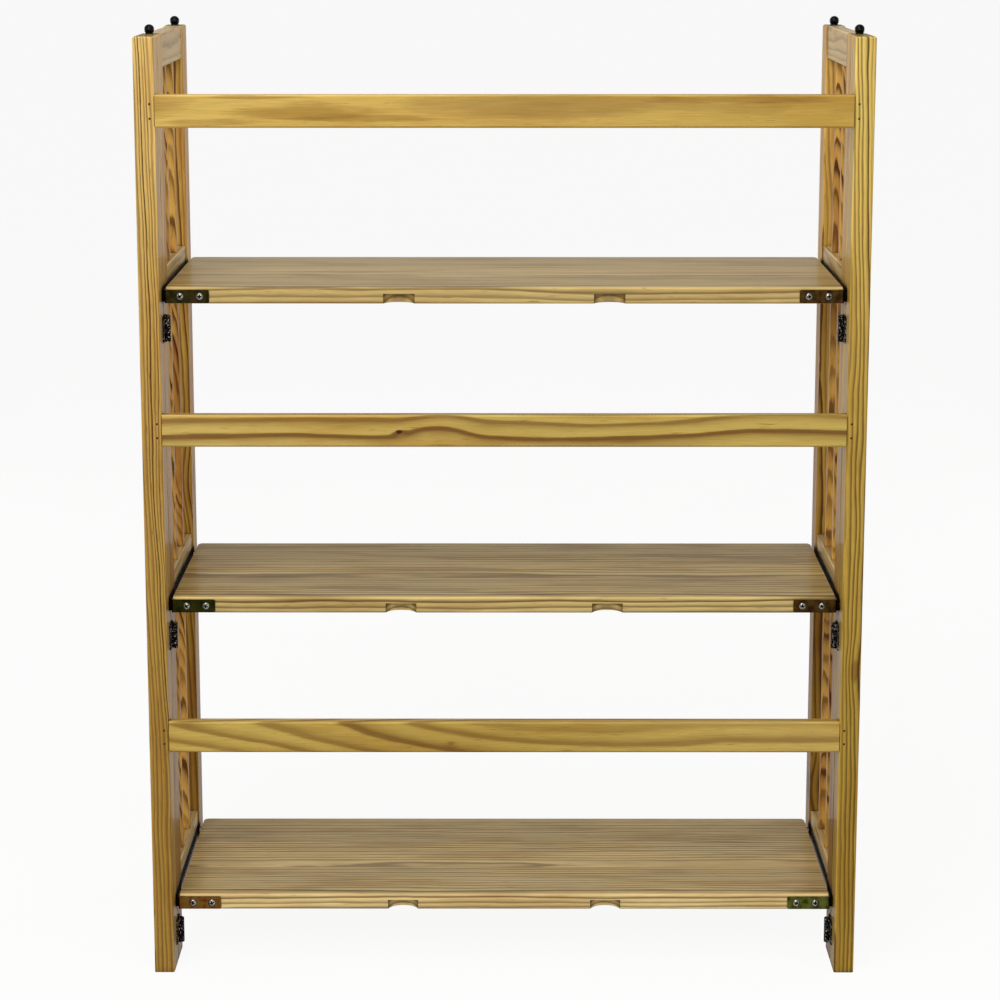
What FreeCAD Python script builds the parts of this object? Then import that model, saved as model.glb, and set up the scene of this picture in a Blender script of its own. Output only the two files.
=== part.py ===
import FreeCAD, Part
import math
import os

os.makedirs("parts", exist_ok=True)
V = FreeCAD.Vector

# Folding bookcase in pine. An open back frame carries three shelves, which fold up flat
# between its posts, and two side panels, which are hung on the posts and fold in behind
# them. +Z is up, -Y is the back frame's side and the origin is on the floor, in the middle
# of the whole. "left" is -X. Every size is in millimetres.

# Uprights
unit_width = 696.0            # outside of one back post to the outside of the other
post_height = 922.0           # posts and stiles, floor to top
member_thickness = 19.5       # posts and stiles, measured across the unit
back_post_depth = 35.0
rear_stile_depth = 39.5
front_stile_depth = 38.0
fold_gap = 0.5                # between a back post and the panel hung on it
upright_chamfer = 1.3         # eased edges of posts and stiles

# Shelves
lowest_shelf_top = 74.5
highest_shelf_drop = 237.9    # tops of the posts down to the highest shelf
shelf_thickness = 16.0
shelf_depth = 247.5
shelf_setback = 22.0          # back of the posts to the rear edge of a shelf
shelf_end_gap = 4.5           # between a shelf's end and the inner faces of the uprights
shelf_corner_radius = 10.0    # front corners, seen from above
shelf_top_round = 3.0         # rear and front edges
shelf_bottom_chamfer = 1.0

# Rails of the back frame
back_rail_height = 31.0
back_rail_thickness = 14.5
back_rail_rise = 153.0        # shelf top to the underside of the rail above it
back_rail_chamfer = 1.6
brad_width = 2.0              # square
brad_length = 22.0
brad_spacing = 13.6
brad_inset = 4.7              # from the shoulder of the rail's tenon

# Rails and spindles of a side panel
panel_rail_thickness = 14.5
panel_rail_recess = 1.5       # behind the inner faces of the stiles
top_rail_height = 33.0
cross_rail_height = 35.0
cross_rail_rise = 13.0        # top of a cross rail above the shelf beside it
panel_rail_chamfer = 1.0
spindle_width = 10.0          # square, in the middle of the rails' thickness
spindle_count = 2
spindle_chamfer = 0.8

# Joinery
rail_tenon_length = 10.0
rail_tenon_shoulder = 4.0     # above and below a rail's tenon
rail_tenon_cheek = 2.0        # on each side of a panel rail's tenon
back_tenon_cheek = 3.0        # on each side of a back rail's tenon
spindle_tenon_length = 8.0
spindle_tenon_shoulder = 2.0
mortise_end_gap = 0.5

# Butt hinges between back posts and side panels
hinge_height = 25.4
hinge_drop = 42.0             # shelf top down to the middle of the hinge below it
leaf_width = 12.5             # from the pin's axis
leaf_thickness = 1.3
leaf_corner_chamfer = 1.3
barrel_radius = 3.3
barrel_lift = 0.1             # knuckles clear of the wood
hinge_pin_radius = 1.6
hinge_pin_head_radius = 2.5
hinge_pin_head_height = 0.9
knuckle_gap = 0.3
leaf_screw_spacing = 16.0
leaf_screw_inset = 8.0        # from the pin's axis
leaf_screw_head_radius = 2.5
leaf_screw_length = 10.0
running_clearance = 0.05      # radial, round every pin that something turns on

# Corner brackets, screwed to the rear edge of each shelf, and their pivot bolts
bracket_height = 12.7
bracket_thickness = 1.6
bracket_rear_leg = 41.0
bracket_side_leg = 20.0
bracket_rise = 0.65           # lower edge above the shelf's underside
bracket_corner_chamfer = 1.0
bracket_tip_chamfer = 3.5
bracket_screw_first = 13.0    # from the shelf's end
bracket_screw_pitch = 19.0
bracket_screw_radius = 2.0
bracket_screw_head_radius = 3.4
bracket_screw_dome = 1.4
bracket_screw_crown = 0.55    # flat top of the head, as a share of its radius
bracket_screw_length = 20.0
pivot_inset = 6.0             # rear edge of the shelf to the pivot
pivot_radius = 2.5
pivot_head_radius = 4.5
pivot_head_height = 1.8
pivot_setting = 14.0          # length of bolt in the post
pivot_head_clearance = 0.3
spacer_radius = 6.0
spacer_clearance = 0.1        # between the spacer and the bracket that turns on it

# Pegs on the front stiles, which the open shelves rest on, and the room they need
peg_radius = 3.0
peg_reach = 11.5              # out of the stile
peg_setting = 12.0            # length of peg in the stile
peg_setback = 10.2            # front edge of the shelf to the peg's axis
peg_inset = 5.3               # rear face of the front stile to the peg's axis
peg_tip_chamfer = 0.8
peg_side_clearance = 0.5
peg_end_clearance = 5.5       # tip of the peg to the end of its groove
peg_seat_depth = 9.4          # of the grooves and of the notches in a shelf's underside
notch_radius = 15.5
notch_clearance = 3.6         # past the peg of a folded panel

# Ball-topped pins that stack one unit on another, and the sockets that receive them
stacking_pin_height = 9.4
stacking_ball_radius = 4.9
stacking_ball_flat = 1.2      # radius of the flat on top
stacking_neck_radius = 4.2
stacking_shank_radius = 3.0
stacking_shank_length = 14.0
socket_side_clearance = 0.4
socket_end_clearance = 1.6

# Sides of the small round pieces that nothing turns on, and of the holes they lie in
screw_sides = 6
barrel_sides = 8
ball_steps = 4

# Places that follow from the sizes above
half_width = unit_width / 2
inner_face = half_width - member_thickness
front_face = (shelf_setback + shelf_depth - peg_setback - peg_inset + front_stile_depth) / 2
back_face = -front_face
post_front = back_face + back_post_depth
rear_stile_back = post_front + fold_gap
rear_stile_front = rear_stile_back + rear_stile_depth
front_stile_back = front_face - front_stile_depth
rail_inner_face = inner_face + panel_rail_recess
rail_outer_face = rail_inner_face + panel_rail_thickness
shelf_half_length = inner_face - shelf_end_gap
shelf_back = back_face + shelf_setback
shelf_front = shelf_back + shelf_depth
hinge_axis_x = inner_face - barrel_radius - barrel_lift
hinge_axis_y = (post_front + rear_stile_back) / 2
pivot_y = shelf_back + pivot_inset
pivot_rise = bracket_rise + bracket_height / 2
peg_y = front_stile_back + peg_inset
peg_rise = peg_seat_depth - peg_radius
groove_reach = peg_reach - shelf_end_gap + peg_end_clearance
# A folded panel brings its pegs to the raised shelves at the notches
notch_x = hinge_axis_x - (peg_y - hinge_axis_y)
notch_reach = peg_seat_depth - pivot_rise + pivot_inset + notch_clearance
socket_radius = stacking_ball_radius + socket_side_clearance
socket_depth = stacking_pin_height + socket_end_clearance
highest_shelf_top = post_height - highest_shelf_drop
levels = {
    "top": highest_shelf_top,
    "middle": (highest_shelf_top + lowest_shelf_top) / 2,
    "bottom": lowest_shelf_top,
}
undersides = {level: top - shelf_thickness for level, top in levels.items()}

X_AXIS = V(1, 0, 0)
Y_AXIS = V(0, 1, 0)
Z_AXIS = V(0, 0, 1)
SMALL = 1e-4


def block(low, high):
    """Rectangular block between two opposite corners."""
    size = [high[i] - low[i] for i in range(3)]
    return Part.makeBox(*size, V(*low))


def rod(centre, direction, radius, length):
    """Round bar that starts at centre and runs along direction."""
    return Part.makeCylinder(radius, length, V(*centre), direction)


def along(edge, direction):
    """Whether a straight edge runs along a direction."""
    ends = edge.Vertexes
    if len(ends) != 2:
        return False
    return (ends[1].Point - ends[0].Point).cross(direction).Length < SMALL


def at_height(edge, height):
    """Whether a whole edge lies at one height."""
    box = edge.BoundBox
    return abs(box.ZMin - height) < SMALL and abs(box.ZMax - height) < SMALL


def chamfered(shape, size, choose):
    """Takes off the edges that a test picks out."""
    return shape.makeChamfer(size, [edge for edge in shape.Edges if choose(edge)])


def mirrored(shape):
    """The same piece on the other side of the unit."""
    return shape.mirror(V(0, 0, 0), X_AXIS)


def cut_all(shape, tools):
    """Takes a list of tools away from a piece."""
    return shape.cut(Part.makeCompound(tools)) if tools else shape


def turned(outline, base, direction, sides):
    """Small turned piece with flat sides. The outline runs from axis to axis as (radius,
    distance) points, where the distance is measured from base along direction. The corners
    of the sides lie on the outline."""
    turns = [2 * math.pi * (i + 0.5) / sides for i in range(sides)]
    rings = []
    for radius, distance in outline[1:-1]:
        rings.append([V(radius * math.cos(t), radius * math.sin(t), distance) for t in turns])
    faces = [Part.Face(Part.makePolygon(ring + ring[:1])) for ring in (rings[0], rings[-1])]
    for lower, upper in zip(rings, rings[1:]):
        for i in range(sides):
            j = (i + 1) % sides
            corners = [lower[i], lower[j], upper[j], upper[i], lower[i]]
            faces.append(Part.Face(Part.makePolygon(corners)))
    solid = Part.Solid(Part.Shell(faces))
    if solid.Volume < 0:
        solid.reverse()
    solid.Placement = FreeCAD.Placement(V(*base), FreeCAD.Rotation(Z_AXIS, direction))
    return solid


def plug(base, direction, radius, length, sides):
    """Flat-sided plug whose corners lie on a circle."""
    return turned([(0, 0), (radius, 0), (radius, length), (0, length)], base, direction, sides)


def round_hole(base, direction, radius, length):
    """Flat-sided hole that just clears a round bar."""
    return plug(base, direction, radius / math.cos(math.pi / barrel_sides), length, barrel_sides)


def tenon(low, high, axis, length, cheeks):
    """Core of a bar that runs past both its ends as tenons. axis is the bar's own direction
    as 0, 1 or 2, and cheeks are the steps down from the bar's other faces."""
    start = [value + cheeks[i] for i, value in enumerate(low)]
    end = [value - cheeks[i] for i, value in enumerate(high)]
    start[axis] = low[axis] - length
    end[axis] = high[axis] + length
    return block(start, end)


# Bars that are tenoned into others: lowest corner, highest corner


def back_rail_corners(level):
    bottom = levels[level] + back_rail_rise
    low = (-inner_face, back_face, bottom)
    return low, (inner_face, back_face + back_rail_thickness, bottom + back_rail_height)


def cross_rail_corners(level):
    top = levels[level] + cross_rail_rise
    low = (-rail_outer_face, rear_stile_front, top - cross_rail_height)
    return low, (-rail_inner_face, front_stile_back, top)


def top_rail_corners():
    low = (-rail_outer_face, rear_stile_front, post_height - top_rail_height)
    return low, (-rail_inner_face, front_stile_back, post_height)


def spindle_corners(level):
    """Spindles of the bay above a shelf, evenly spread between the stiles."""
    bottom = levels[level] + cross_rail_rise
    above = {"bottom": "middle", "middle": "top"}
    top = cross_rail_corners(above[level])[0][2] if level in above else top_rail_corners()[0][2]
    between = front_stile_back - rear_stile_front
    space = (between - spindle_count * spindle_width) / (spindle_count + 1)
    middle = -(rail_inner_face + rail_outer_face) / 2
    half = spindle_width / 2
    corners = []
    for i in range(spindle_count):
        y = rear_stile_front + space + i * (space + spindle_width)
        corners.append(((middle - half, y, bottom), (middle + half, y + spindle_width, top)))
    return corners


back_cheeks = (0, back_tenon_cheek, rail_tenon_shoulder)
rail_cheeks = (rail_tenon_cheek, 0, rail_tenon_shoulder)
spindle_cheeks = (spindle_tenon_shoulder, spindle_tenon_shoulder, 0)


def back_tenon(level, spare=0.0):
    low, high = back_rail_corners(level)
    return tenon(low, high, 0, rail_tenon_length + spare, back_cheeks)


def panel_tenon(corners, spare=0.0):
    low, high = corners
    return tenon(low, high, 1, rail_tenon_length + spare, rail_cheeks)


def spindle_tenon(corners, spare=0.0):
    low, high = corners
    return tenon(low, high, 2, spindle_tenon_length + spare, spindle_cheeks)


def spindle_mortises():
    pairs = [corners for level in levels for corners in spindle_corners(level)]
    return [spindle_tenon(corners, mortise_end_gap) for corners in pairs]


def brads():
    """Brads through the left post and the tenons of the back rails."""
    half = brad_width / 2
    x = -inner_face - brad_inset
    pins = []
    for level in levels:
        low, high = back_rail_corners(level)
        middle = (low[2] + high[2]) / 2
        for z in (middle - brad_spacing / 2, middle + brad_spacing / 2):
            corner = (x + half, back_face + brad_length, z + half)
            pins.append(block((x - half, back_face, z - half), corner))
    return pins


# Back frame


def upright(back, depth):
    """Left post or stile, with its long edges and its top edges eased."""
    bar = block((-half_width, back, 0), (-inner_face, back + depth, post_height))
    return chamfered(
        bar, upright_chamfer, lambda e: along(e, Z_AXIS) or at_height(e, post_height)
    )


def back_post():
    tools = [back_tenon(level, mortise_end_gap) for level in levels]
    tools += brads() + leaf_screws(post_screw_y)
    tools += [pivot_hole(level) for level in levels]
    return cut_all(upright(back_face, back_post_depth), tools)


def back_rail(level):
    low, high = back_rail_corners(level)
    bar = chamfered(block(low, high), back_rail_chamfer, lambda e: along(e, X_AXIS))
    rail = bar.fuse(back_tenon(level)).removeSplitter()
    return cut_all(rail, brads() + [mirrored(brad) for brad in brads()])


# Side panel, left


def rear_stile():
    rails = [top_rail_corners()] + [cross_rail_corners(level) for level in levels]
    tools = [panel_tenon(corners, mortise_end_gap) for corners in rails]
    tools += [stacking_pin(rear_stile_middle), socket(rear_stile_middle)]
    tools += leaf_screws(panel_screw_y)
    return cut_all(upright(rear_stile_back, rear_stile_depth), tools)


def front_stile():
    rails = [top_rail_corners()] + [cross_rail_corners(level) for level in levels]
    tools = [panel_tenon(corners, mortise_end_gap) for corners in rails]
    tools += [stacking_pin(front_stile_middle), socket(front_stile_middle)]
    return cut_all(upright(front_stile_back, front_stile_depth), tools + pegs())


def panel_rail(corners):
    """Rail of a side panel. The pegs run through the front tenons of the cross rails."""
    low, high = corners
    bar = chamfered(block(low, high), panel_rail_chamfer, lambda e: along(e, Y_AXIS))
    rail = bar.fuse(panel_tenon(corners)).removeSplitter()
    return cut_all(rail, spindle_mortises() + pegs())


def spindle(corners):
    low, high = corners
    bar = chamfered(block(low, high), spindle_chamfer, lambda e: along(e, Z_AXIS))
    return bar.fuse(spindle_tenon(corners)).removeSplitter()


def pegs():
    """Chamfered pegs that carry the front corners of the open shelves."""
    length = peg_setting + peg_reach
    outline = [
        (0, 0),
        (peg_radius, 0),
        (peg_radius, length - peg_tip_chamfer),
        (peg_radius - peg_tip_chamfer, length),
        (0, length),
    ]
    start_x = -inner_face - peg_setting
    return [
        turned(outline, (start_x, peg_y, undersides[level] + peg_rise), X_AXIS, screw_sides)
        for level in levels
    ]


rear_stile_middle = (rear_stile_back + rear_stile_front) / 2
front_stile_middle = (front_stile_back + front_face) / 2
stile_centre_x = -half_width + member_thickness / 2


def stacking_pin(y):
    """Shank, neck and ball of the pin in the top of a stile."""
    centre = stacking_pin_height - stacking_ball_radius
    neck_turn = math.acos(stacking_neck_radius / stacking_ball_radius)
    turns = [-neck_turn + i * (math.pi / 2 + neck_turn) / ball_steps for i in range(ball_steps)]
    outline = [
        (0, -stacking_shank_length),
        (stacking_shank_radius, -stacking_shank_length),
        (stacking_shank_radius, 0),
        (stacking_neck_radius, 0),
    ]
    for turn in turns:
        outline.append(
            (stacking_ball_radius * math.cos(turn), centre + stacking_ball_radius * math.sin(turn))
        )
    outline += [(stacking_ball_flat, stacking_pin_height), (0, stacking_pin_height)]
    return turned(outline, (stile_centre_x, y, post_height), Z_AXIS, barrel_sides)


def socket(y):
    return rod((stile_centre_x, y, 0), Z_AXIS, socket_radius, socket_depth)


# Butt hinges, left

post_screw_y = hinge_axis_y - leaf_screw_inset
panel_screw_y = hinge_axis_y + leaf_screw_inset
hinge_heights = [levels[level] - hinge_drop for level in levels]
knuckle_height = hinge_height / 3
leaf_screw_radius = leaf_screw_head_radius - leaf_thickness


def hinge_leaf(middle, side):
    """One leaf. side is -1 for the post's leaf, which has the two outer knuckles, and 1 for
    the panel's leaf, which has the middle one."""
    low = middle - hinge_height / 2
    tip_y = hinge_axis_y + side * leaf_width
    ys = sorted((hinge_axis_y, tip_y))
    leaf = block(
        (-inner_face, ys[0], low), (-inner_face + leaf_thickness, ys[1], low + hinge_height)
    )
    leaf = chamfered(
        leaf,
        leaf_corner_chamfer,
        lambda e: along(e, X_AXIS) and abs(e.Vertexes[0].Y - tip_y) < SMALL,
    )
    own = (0, 2) if side < 0 else (1,)
    for i in range(3):
        start = low + i * knuckle_height
        end = start + knuckle_height
        if i in own:
            start += knuckle_gap / 2 * (i > 0)
            end -= knuckle_gap / 2 * (i < 2)
            base = (-hinge_axis_x, hinge_axis_y, start)
            leaf = leaf.fuse(plug(base, Z_AXIS, barrel_radius, end - start, barrel_sides))
        else:
            base = (-hinge_axis_x, hinge_axis_y, start - knuckle_gap / 2)
            reach = barrel_radius + knuckle_gap
            leaf = leaf.cut(round_hole(base, Z_AXIS, reach, knuckle_height + knuckle_gap))
    base = (-hinge_axis_x, hinge_axis_y, low)
    bore = round_hole(base, Z_AXIS, hinge_pin_radius + running_clearance, hinge_height)
    screws = leaf_screws(hinge_axis_y + side * leaf_screw_inset)
    return cut_all(leaf.cut(bore), screws).removeSplitter()


def hinge_pin(middle):
    """Round pin with a head that rests on the upper knuckle."""
    base = (-hinge_axis_x, hinge_axis_y, middle - hinge_height / 2)
    shank = rod(base, Z_AXIS, hinge_pin_radius, hinge_height)
    top = (-hinge_axis_x, hinge_axis_y, middle + hinge_height / 2)
    head = plug(top, Z_AXIS, hinge_pin_head_radius, hinge_pin_head_height, barrel_sides)
    return shank.fuse(head)


def leaf_screws(y):
    """Flat-headed screws, flush with a column of leaves."""
    outline = [
        (0, 0),
        (leaf_screw_head_radius, 0),
        (leaf_screw_radius, leaf_thickness),
        (leaf_screw_radius, leaf_screw_length),
        (0, leaf_screw_length),
    ]
    face_x = -inner_face + leaf_thickness
    return [
        turned(outline, (face_x, y, middle + side * leaf_screw_spacing / 2), -X_AXIS, screw_sides)
        for middle in hinge_heights
        for side in (-1, 1)
    ]


# Shelves and what they turn on, left


def pivot_place(level, x):
    return (x, pivot_y, undersides[level] + pivot_rise)


def pivot_bolt(level):
    """Bolt through the bracket into the post. Its head lies in the shelf's end."""
    base = pivot_place(level, -shelf_half_length)
    shank = rod(base, -X_AXIS, pivot_radius, shelf_end_gap + pivot_setting)
    head = plug(base, X_AXIS, pivot_head_radius, pivot_head_height, barrel_sides)
    return shank.fuse(head)


def pivot_hole(level):
    """Hole in the post for the end of a pivot bolt."""
    return round_hole(pivot_place(level, -inner_face), -X_AXIS, pivot_radius, pivot_setting)


def pivot_spacer(level):
    """Ring between the post and the bracket."""
    base = pivot_place(level, -inner_face)
    length = shelf_end_gap - bracket_thickness - spacer_clearance
    ring = plug(base, X_AXIS, spacer_radius, length, barrel_sides)
    return ring.cut(round_hole(base, X_AXIS, pivot_radius + running_clearance, length))


def screw_places():
    first = -shelf_half_length + bracket_screw_first
    return first, first + bracket_screw_pitch


def bracket_screws(level):
    """Oval-headed screws through the left bracket into the shelf's rear edge."""
    rim = bracket_thickness - (bracket_screw_head_radius - bracket_screw_radius)
    crown = bracket_screw_head_radius * bracket_screw_crown
    outline = [
        (0, rim - bracket_screw_dome),
        (crown, rim - bracket_screw_dome),
        (bracket_screw_head_radius, rim),
        (bracket_screw_radius, bracket_thickness),
        (bracket_screw_radius, bracket_screw_length),
        (0, bracket_screw_length),
    ]
    height = undersides[level] + pivot_rise
    return [
        turned(outline, (x, shelf_back - bracket_thickness, height), Y_AXIS, screw_sides)
        for x in screw_places()
    ]


def shelf_bracket(level):
    """Angle bracket round the rear corner: one leg on the rear edge, one on the end."""
    low = undersides[level] + bracket_rise
    high = low + bracket_height
    outer_x = -shelf_half_length - bracket_thickness
    outer_y = shelf_back - bracket_thickness
    rear_tip = -shelf_half_length + bracket_rear_leg
    side_tip = shelf_back + bracket_side_leg
    rear_leg = chamfered(
        block((outer_x, outer_y, low), (rear_tip, shelf_back, high)),
        bracket_corner_chamfer,
        lambda e: along(e, Y_AXIS) and abs(e.Vertexes[0].X - rear_tip) < SMALL,
    )
    side_leg = chamfered(
        block((outer_x, outer_y, low), (-shelf_half_length, side_tip, high)),
        bracket_tip_chamfer,
        lambda e: along(e, X_AXIS) and abs(e.Vertexes[0].Y - side_tip) < SMALL,
    )
    angle = rear_leg.fuse(side_leg).removeSplitter()
    bend = [
        e
        for e in angle.Edges
        if along(e, Z_AXIS)
        and abs(e.Vertexes[0].X - outer_x) < SMALL
        and abs(e.Vertexes[0].Y - outer_y) < SMALL
    ]
    angle = angle.makeFillet(bracket_thickness, bend)
    reach = pivot_radius + running_clearance
    tools = [round_hole(pivot_place(level, outer_x), X_AXIS, reach, bracket_thickness)]
    wide = bracket_screw_radius + bracket_thickness
    sink = [(0, 0), (wide, 0), (bracket_screw_radius, bracket_thickness), (0, bracket_thickness)]
    for x in screw_places():
        base = (x, outer_y, undersides[level] + pivot_rise)
        tools.append(turned(sink, base, Y_AXIS, screw_sides))
    return cut_all(angle, tools)


def board_blank(low):
    """Plain board: its section, with rounded upper arrises, carried from end to end, and its
    front corners rounded."""
    top = low + shelf_thickness
    board = block((-shelf_half_length, shelf_back, low), (shelf_half_length, shelf_front, top))
    board = board.makeFillet(
        shelf_top_round, [e for e in board.Edges if along(e, X_AXIS) and at_height(e, top)]
    )
    board = chamfered(
        board, shelf_bottom_chamfer, lambda e: along(e, X_AXIS) and at_height(e, low)
    )
    radius = shelf_corner_radius
    corner_x = shelf_half_length - radius
    corner_y = shelf_front - radius
    corners = []
    for side in (-1, 1):
        xs = sorted((side * corner_x, side * shelf_half_length))
        waste = block((xs[0], corner_y, low), (xs[1], shelf_front, top))
        corners.append(waste.cut(rod((side * corner_x, corner_y, low), Z_AXIS, radius, shelf_thickness)))
    return cut_all(board, corners)


def shelf_board(level):
    """Board whose underside has a notch at each place where a folded panel's peg comes, and
    a groove at each front corner, which drops over a peg."""
    low = undersides[level]
    notch_centre = (-notch_x, shelf_back - (notch_radius - notch_reach), low)
    half_groove = peg_radius + peg_side_clearance
    reach = pivot_head_radius + pivot_head_clearance
    depth = pivot_head_height + pivot_head_clearance
    tools = [
        rod(notch_centre, Z_AXIS, notch_radius, peg_seat_depth),
        block(
            (-shelf_half_length, peg_y - half_groove, low),
            (-shelf_half_length + groove_reach, peg_y + half_groove, low + peg_seat_depth),
        ),
        round_hole(pivot_place(level, -shelf_half_length), X_AXIS, reach, depth),
    ] + bracket_screws(level)
    return cut_all(board_blank(low), tools + [mirrored(tool) for tool in tools])


def save(name, shape):
    shape.exportStep(f"parts/{name}.step")


def save_pair(name, shape):
    """Writes a left piece and its mirror image."""
    save(name + "_left", shape)
    save(name + "_right", mirrored(shape))


def build_back_frame():
    save_pair("back_post", back_post())
    for level in levels:
        save(f"back_rail_{level}", back_rail(level))
    save_pair("rail_brads", Part.makeCompound(brads()))
    save_pair("post_hinge_leaves", Part.makeCompound([hinge_leaf(z, -1) for z in hinge_heights]))
    save_pair("hinge_pins", Part.makeCompound([hinge_pin(z) for z in hinge_heights]))
    save_pair("post_leaf_screws", Part.makeCompound(leaf_screws(post_screw_y)))
    save_pair("shelf_pivot_bolts", Part.makeCompound([pivot_bolt(level) for level in levels]))
    save_pair("pivot_spacers", Part.makeCompound([pivot_spacer(level) for level in levels]))


def build_side_panels():
    save_pair("rear_stile", rear_stile())
    save_pair("front_stile", front_stile())
    save_pair("panel_top_rail", panel_rail(top_rail_corners()))
    for level in levels:
        save_pair(f"panel_cross_rail_{level}", panel_rail(cross_rail_corners(level)))
        bars = [spindle(corners) for corners in spindle_corners(level)]
        save_pair(f"spindles_{level}", Part.makeCompound(bars))
    save_pair("shelf_pegs", Part.makeCompound(pegs()))
    pins = [stacking_pin(rear_stile_middle), stacking_pin(front_stile_middle)]
    save_pair("stacking_pins", Part.makeCompound(pins))
    save_pair("panel_hinge_leaves", Part.makeCompound([hinge_leaf(z, 1) for z in hinge_heights]))
    save_pair("panel_leaf_screws", Part.makeCompound(leaf_screws(panel_screw_y)))


def build_shelves():
    for level in levels:
        save(f"shelf_board_{level}", shelf_board(level))
        save_pair(f"shelf_bracket_{level}", shelf_bracket(level))
        screws = bracket_screws(level)
        everything = screws + [mirrored(screw) for screw in screws]
        save(f"bracket_screws_{level}", Part.makeCompound(everything))


build_back_frame()
build_side_panels()
build_shelves()
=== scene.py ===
import math

import bmesh
import bpy
import numpy as np
from mathutils import Euler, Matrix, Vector


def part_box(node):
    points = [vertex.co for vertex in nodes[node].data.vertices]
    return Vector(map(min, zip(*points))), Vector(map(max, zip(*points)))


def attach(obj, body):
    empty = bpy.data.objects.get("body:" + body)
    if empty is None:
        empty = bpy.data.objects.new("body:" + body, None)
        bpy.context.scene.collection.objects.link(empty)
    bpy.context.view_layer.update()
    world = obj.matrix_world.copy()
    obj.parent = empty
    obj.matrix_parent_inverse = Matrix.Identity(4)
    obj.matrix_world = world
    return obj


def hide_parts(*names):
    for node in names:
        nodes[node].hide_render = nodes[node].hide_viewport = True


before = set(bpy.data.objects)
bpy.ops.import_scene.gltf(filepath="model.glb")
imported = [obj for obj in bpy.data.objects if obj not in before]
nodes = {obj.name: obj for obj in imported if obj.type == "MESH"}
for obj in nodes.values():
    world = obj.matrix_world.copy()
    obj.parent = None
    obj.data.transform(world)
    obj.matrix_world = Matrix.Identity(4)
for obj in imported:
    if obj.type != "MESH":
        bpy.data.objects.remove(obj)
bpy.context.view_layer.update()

mm = 0.001
sides = ("left", "right")
levels = ("top", "middle", "bottom")
print("stage: frame loaded,", len(nodes), "nodes")


def linear(hexColour):
    # sRGB hex to linear RGBA
    parts = [int(hexColour[i:i + 2], 16) / 255 for i in (1, 3, 5)]
    return [c / 12.92 if c <= 0.04045 else ((c + 0.055) / 1.055) ** 2.4 for c in parts] + [1.0]


def addNode(tree, kind, settings=None, links=None):
    # a setting is a property of the node or the value of an input; a link joins a node or one of
    # its outputs to an input
    node = tree.nodes.new(kind)
    for name, value in (settings or {}).items():
        if isinstance(name, str) and hasattr(node, name):
            setattr(node, name, value)
        else:
            node.inputs[name].default_value = value
    for name, source in (links or {}).items():
        output = source.outputs[0] if isinstance(source, bpy.types.Node) else source
        tree.links.new(output, node.inputs[name])
    return node


def newMaterial(name):
    material = bpy.data.materials.new(name)
    material.use_nodes = True
    material.node_tree.nodes.clear()
    return material, material.node_tree


def setRamp(node, stops, smooth=False):
    # stops are (place, colour) pairs
    ramp = node.color_ramp
    ramp.interpolation = "EASE" if smooth else "LINEAR"
    while len(ramp.elements) < len(stops):
        ramp.elements.new(0.5)
    for element, (place, colour) in zip(ramp.elements, stops):
        element.position = place
        element.color = colour


def grey(value):
    return [value, value, value, 1.0]


def middleOf(box):
    return (np.array(box[0]) + np.array(box[1])) / 2


def dress(node, material):
    # the CAD node keeps its mesh and gets a finish
    piece = nodes[node]
    piece.data.materials.clear()
    piece.data.materials.append(material)


# Lengths are in millimetres and angles in degrees. ring is the width of a year and stave that of a
# glued strip. pith is how far the heart of the tree lies from the middle of a piece, across the
# grain: near it a face shows arches, far from it straight lines. wander and ripple are how far the
# rings stray, taper how fast they widen along the trunk, and tilt how far off the grain the piece
# was sawn. alongTint is a tint that changes along a piece, from the low or left end to the other.
# arris is how many times as light the rounded arrises are as the faces, part wear and part painted
# highlight, and paintedEdgeLight how many times as light the long edges are, as painted light.
# A noise size is a pair, across and along the grain.
pine = {
    "fibre": (0.7, 30.0),         # real fibres are finer; this is as fine as a render can show
    "fibreDepth": 0.05,
    "fleck": (1.3, 22.0),         # resin canals, likewise drawn coarse
    "fleckRange": (0.64, 0.76),   # the values of a noise between which its mark comes up
    "fleckTone": 0.6,
    "drift": (55.0, 330.0),       # how the rings wander
    "ripple": (11.0, 60.0),
    "patch": (26.0, 150.0),       # warmer and less glossy places
    "warmRange": (0.42, 0.7),
    "ragged": (5.0, 45.0),        # the edges of knots and resin
    "raggedness": 1.2,
    "trunk": (500, 4000),         # how far up the tree a piece may come from
    "pithSpread": 2.0,
    "ringTones": ((0.0, 0.3), (0.08, 0.0), (0.32, 0.06), (0.56, 0.42), (0.76, 1.0), (0.93, 0.95),
                  (1.0, 0.3)),    # darkness through one year, from spring to winter
    "ringChange": (0.3, 1.3),     # how often the rings' widths change, and by how many rings
    "faintest": 0.4,              # the share of the contrast that the faintest ring has
    "bendReach": (0.2, 3.2),      # in sizes of the knot
    "stainReach": (1.1, 1.65),
    "staveTone": (0.84, 1.12),
    "staveJump": (38, 60, 900),   # how far apart in the tree the staves of a board may lie
    "streakRange": (0.3, 0.7),
    "streakTone": (0.84, 1.12),
    "endFrom": 0.6,               # how far a face looks along the grain where end grain begins
    "endTone": 0.4,
    "endRoughness": 0.3,
    "roundRange": (0.72, 0.95),   # how flat the middle of an arris is, and where it is a face again
    "underRange": (-0.35, -0.15),  # arrises that look further down than this get neither wear nor painted highlight
    # painted edge light: where along y a long edge's normal starts to lighten it, and where fully
    "paintedEdgeRange": (0.6, 0.95),
    "ridge": 0.6,                 # of the summerwood, against the fibres
    "roughness": (0.42, 0.54),
    "specular": 0.06,
    "coatRoughness": 0.12,
    "coatIOR": 1.4,
    # painted shade in the narrow gaps between pieces: its colour, reach and openness
    "paintedGapShade": "#140602",
    "paintedGapShadeReach": 14.0,
    "paintedGapShadeOpenness": (0.38, 0.6),    # how open a place in full painted shade is, and one with none
}
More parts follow.
